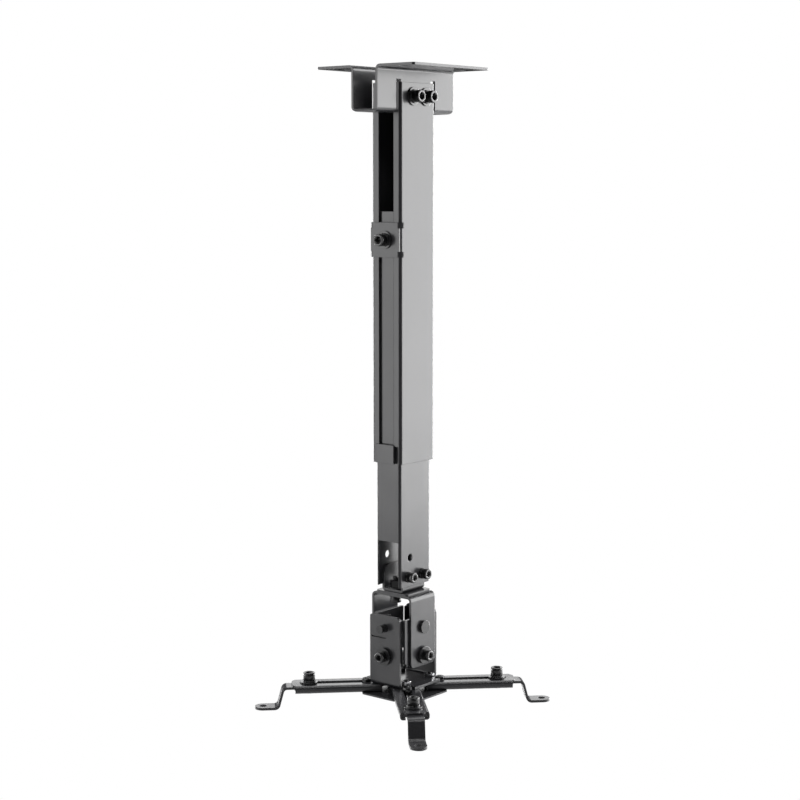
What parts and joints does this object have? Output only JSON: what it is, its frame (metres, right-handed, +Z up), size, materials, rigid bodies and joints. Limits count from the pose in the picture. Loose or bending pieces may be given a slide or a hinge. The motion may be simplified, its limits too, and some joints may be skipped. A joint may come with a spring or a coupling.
{
  "type": "telescoping projector ceiling mount",
  "caption": "Telescoping projector ceiling mount: folded ceiling bracket, square drop column with clamp, swivel, tilt and roll head, and spread arms with sliding feet.",
  "frame": {"origin": "centre of the four ceiling slots, on the upper faces of the two flanges that lie against the ceiling", "axes": "+Z up to the ceiling along the column; +X along the ceiling bracket and the column's broad faces, away from the column's open side; +Y across the bracket"},
  "size_m": [0.173, 0.173, 0.5068],
  "materials": {
    "black_paint": "satin black powder coat",
    "black_bolt": "black oxide",
    "black_washer": "black zinc"
  },
  "bodies": {
    "ceiling_frame": {"ceiling_bracket": "black_paint", "outer_tube": "black_paint", "top_bolts": "black_bolt", "top_washers": "black_washer", "top_nuts": "black_bolt"},
    "drop_tube": {"inner_tube": "black_paint", "clamp_plate": "black_paint", "clamp_bolt": "black_bolt", "clamp_washer": "black_washer", "clamp_nut": "black_bolt", "swivel_base": "black_paint", "base_bolts": "black_bolt", "swivel_rivet": "black_washer"},
    "swivel_head": {"spacer_plate": "black_paint", "yoke": "black_paint", "swivel_lock_bolt": "black_bolt", "swivel_lock_washer": "black_washer", "swivel_lock_nut": "black_bolt", "tilt_pins": "black_washer", "tilt_lock_bolts": "black_bolt", "tilt_washers": "black_washer", "tilt_nuts": "black_bolt"},
    "cross": {"cross_bracket": "black_paint"},
    "arm_holder": {"lower_bracket": "black_paint", "roll_pins": "black_washer", "roll_lock_bolts": "black_bolt", "roll_washers": "black_washer", "roll_nuts": "black_bolt", "center_plate": "black_paint", "arm_pivot_bolts": "black_bolt", "arm_pivot_nuts": "black_washer"},
    "arm_left": {"arm_left": "black_paint", "lock_bolt_left": "black_bolt"},
    "foot_left": {"foot_left": "black_paint", "foot_bolt_left": "black_bolt", "foot_washer_left": "black_washer", "foot_nut_left": "black_bolt"},
    "arm_right": {"arm_right": "black_paint", "lock_bolt_right": "black_bolt"},
    "foot_right": {"foot_right": "black_paint", "foot_bolt_right": "black_bolt", "foot_washer_right": "black_washer", "foot_nut_right": "black_bolt"},
    "arm_front": {"arm_front": "black_paint", "lock_bolt_front": "black_bolt"},
    "foot_front": {"foot_front": "black_paint", "foot_bolt_front": "black_bolt", "foot_washer_front": "black_washer", "foot_nut_front": "black_bolt"},
    "arm_back": {"arm_back": "black_paint", "lock_bolt_back": "black_bolt"},
    "foot_back": {"foot_back": "black_paint", "foot_bolt_back": "black_bolt", "foot_washer_back": "black_washer", "foot_nut_back": "black_bolt"}
  },
  "joints": [
    {"name": "height_slide", "type": "slide", "parent": "ceiling_frame", "child": "drop_tube", "axis": [0, 0, 1], "range_m": [-0.145, 0.075]},
    {"name": "swivel", "type": "hinge", "parent": "drop_tube", "child": "swivel_head", "pos_m": [0, 0, -0.4131], "axis": [0, 0, 1], "range_deg": [-20, 20]},
    {"name": "tilt", "type": "hinge", "parent": "swivel_head", "child": "cross", "pos_m": [0, 0, -0.4393], "axis": [0, 1, 0], "range_deg": [-12, 12]},
    {"name": "roll", "type": "hinge", "parent": "cross", "child": "arm_holder", "pos_m": [0, 0, -0.4393], "axis": [1, 0, 0], "range_deg": [-12, 12]},
    {"name": "arm_left_turn", "type": "hinge", "parent": "arm_holder", "child": "arm_left", "pos_m": [-0.01485, 0.01485, -0.4875], "axis": [0, 0, 1], "range_deg": [-12, 12]},
    {"name": "foot_left_slide", "type": "slide", "parent": "arm_left", "child": "foot_left", "axis": [-0.7071, 0.7071, 0], "range_m": [-0.033, 0.004]},
    {"name": "arm_right_turn", "type": "hinge", "parent": "arm_holder", "child": "arm_right", "pos_m": [0.01485, -0.01485, -0.4875], "axis": [0, 0, 1], "range_deg": [-12, 12]},
    {"name": "foot_right_slide", "type": "slide", "parent": "arm_right", "child": "foot_right", "axis": [0.7071, -0.7071, 0], "range_m": [-0.033, 0.004]},
    {"name": "arm_front_turn", "type": "hinge", "parent": "arm_holder", "child": "arm_front", "pos_m": [-0.01485, -0.01485, -0.4875], "axis": [0, 0, 1], "range_deg": [-12, 12]},
    {"name": "foot_front_slide", "type": "slide", "parent": "arm_front", "child": "foot_front", "axis": [-0.7071, -0.7071, 0], "range_m": [-0.033, 0.004]},
    {"name": "arm_back_turn", "type": "hinge", "parent": "arm_holder", "child": "arm_back", "pos_m": [0.01485, 0.01485, -0.4875], "axis": [0, 0, 1], "range_deg": [-12, 12]},
    {"name": "foot_back_slide", "type": "slide", "parent": "arm_back", "child": "foot_back", "axis": [0.7071, 0.7071, 0], "range_m": [-0.033, 0.004]}
  ]
}
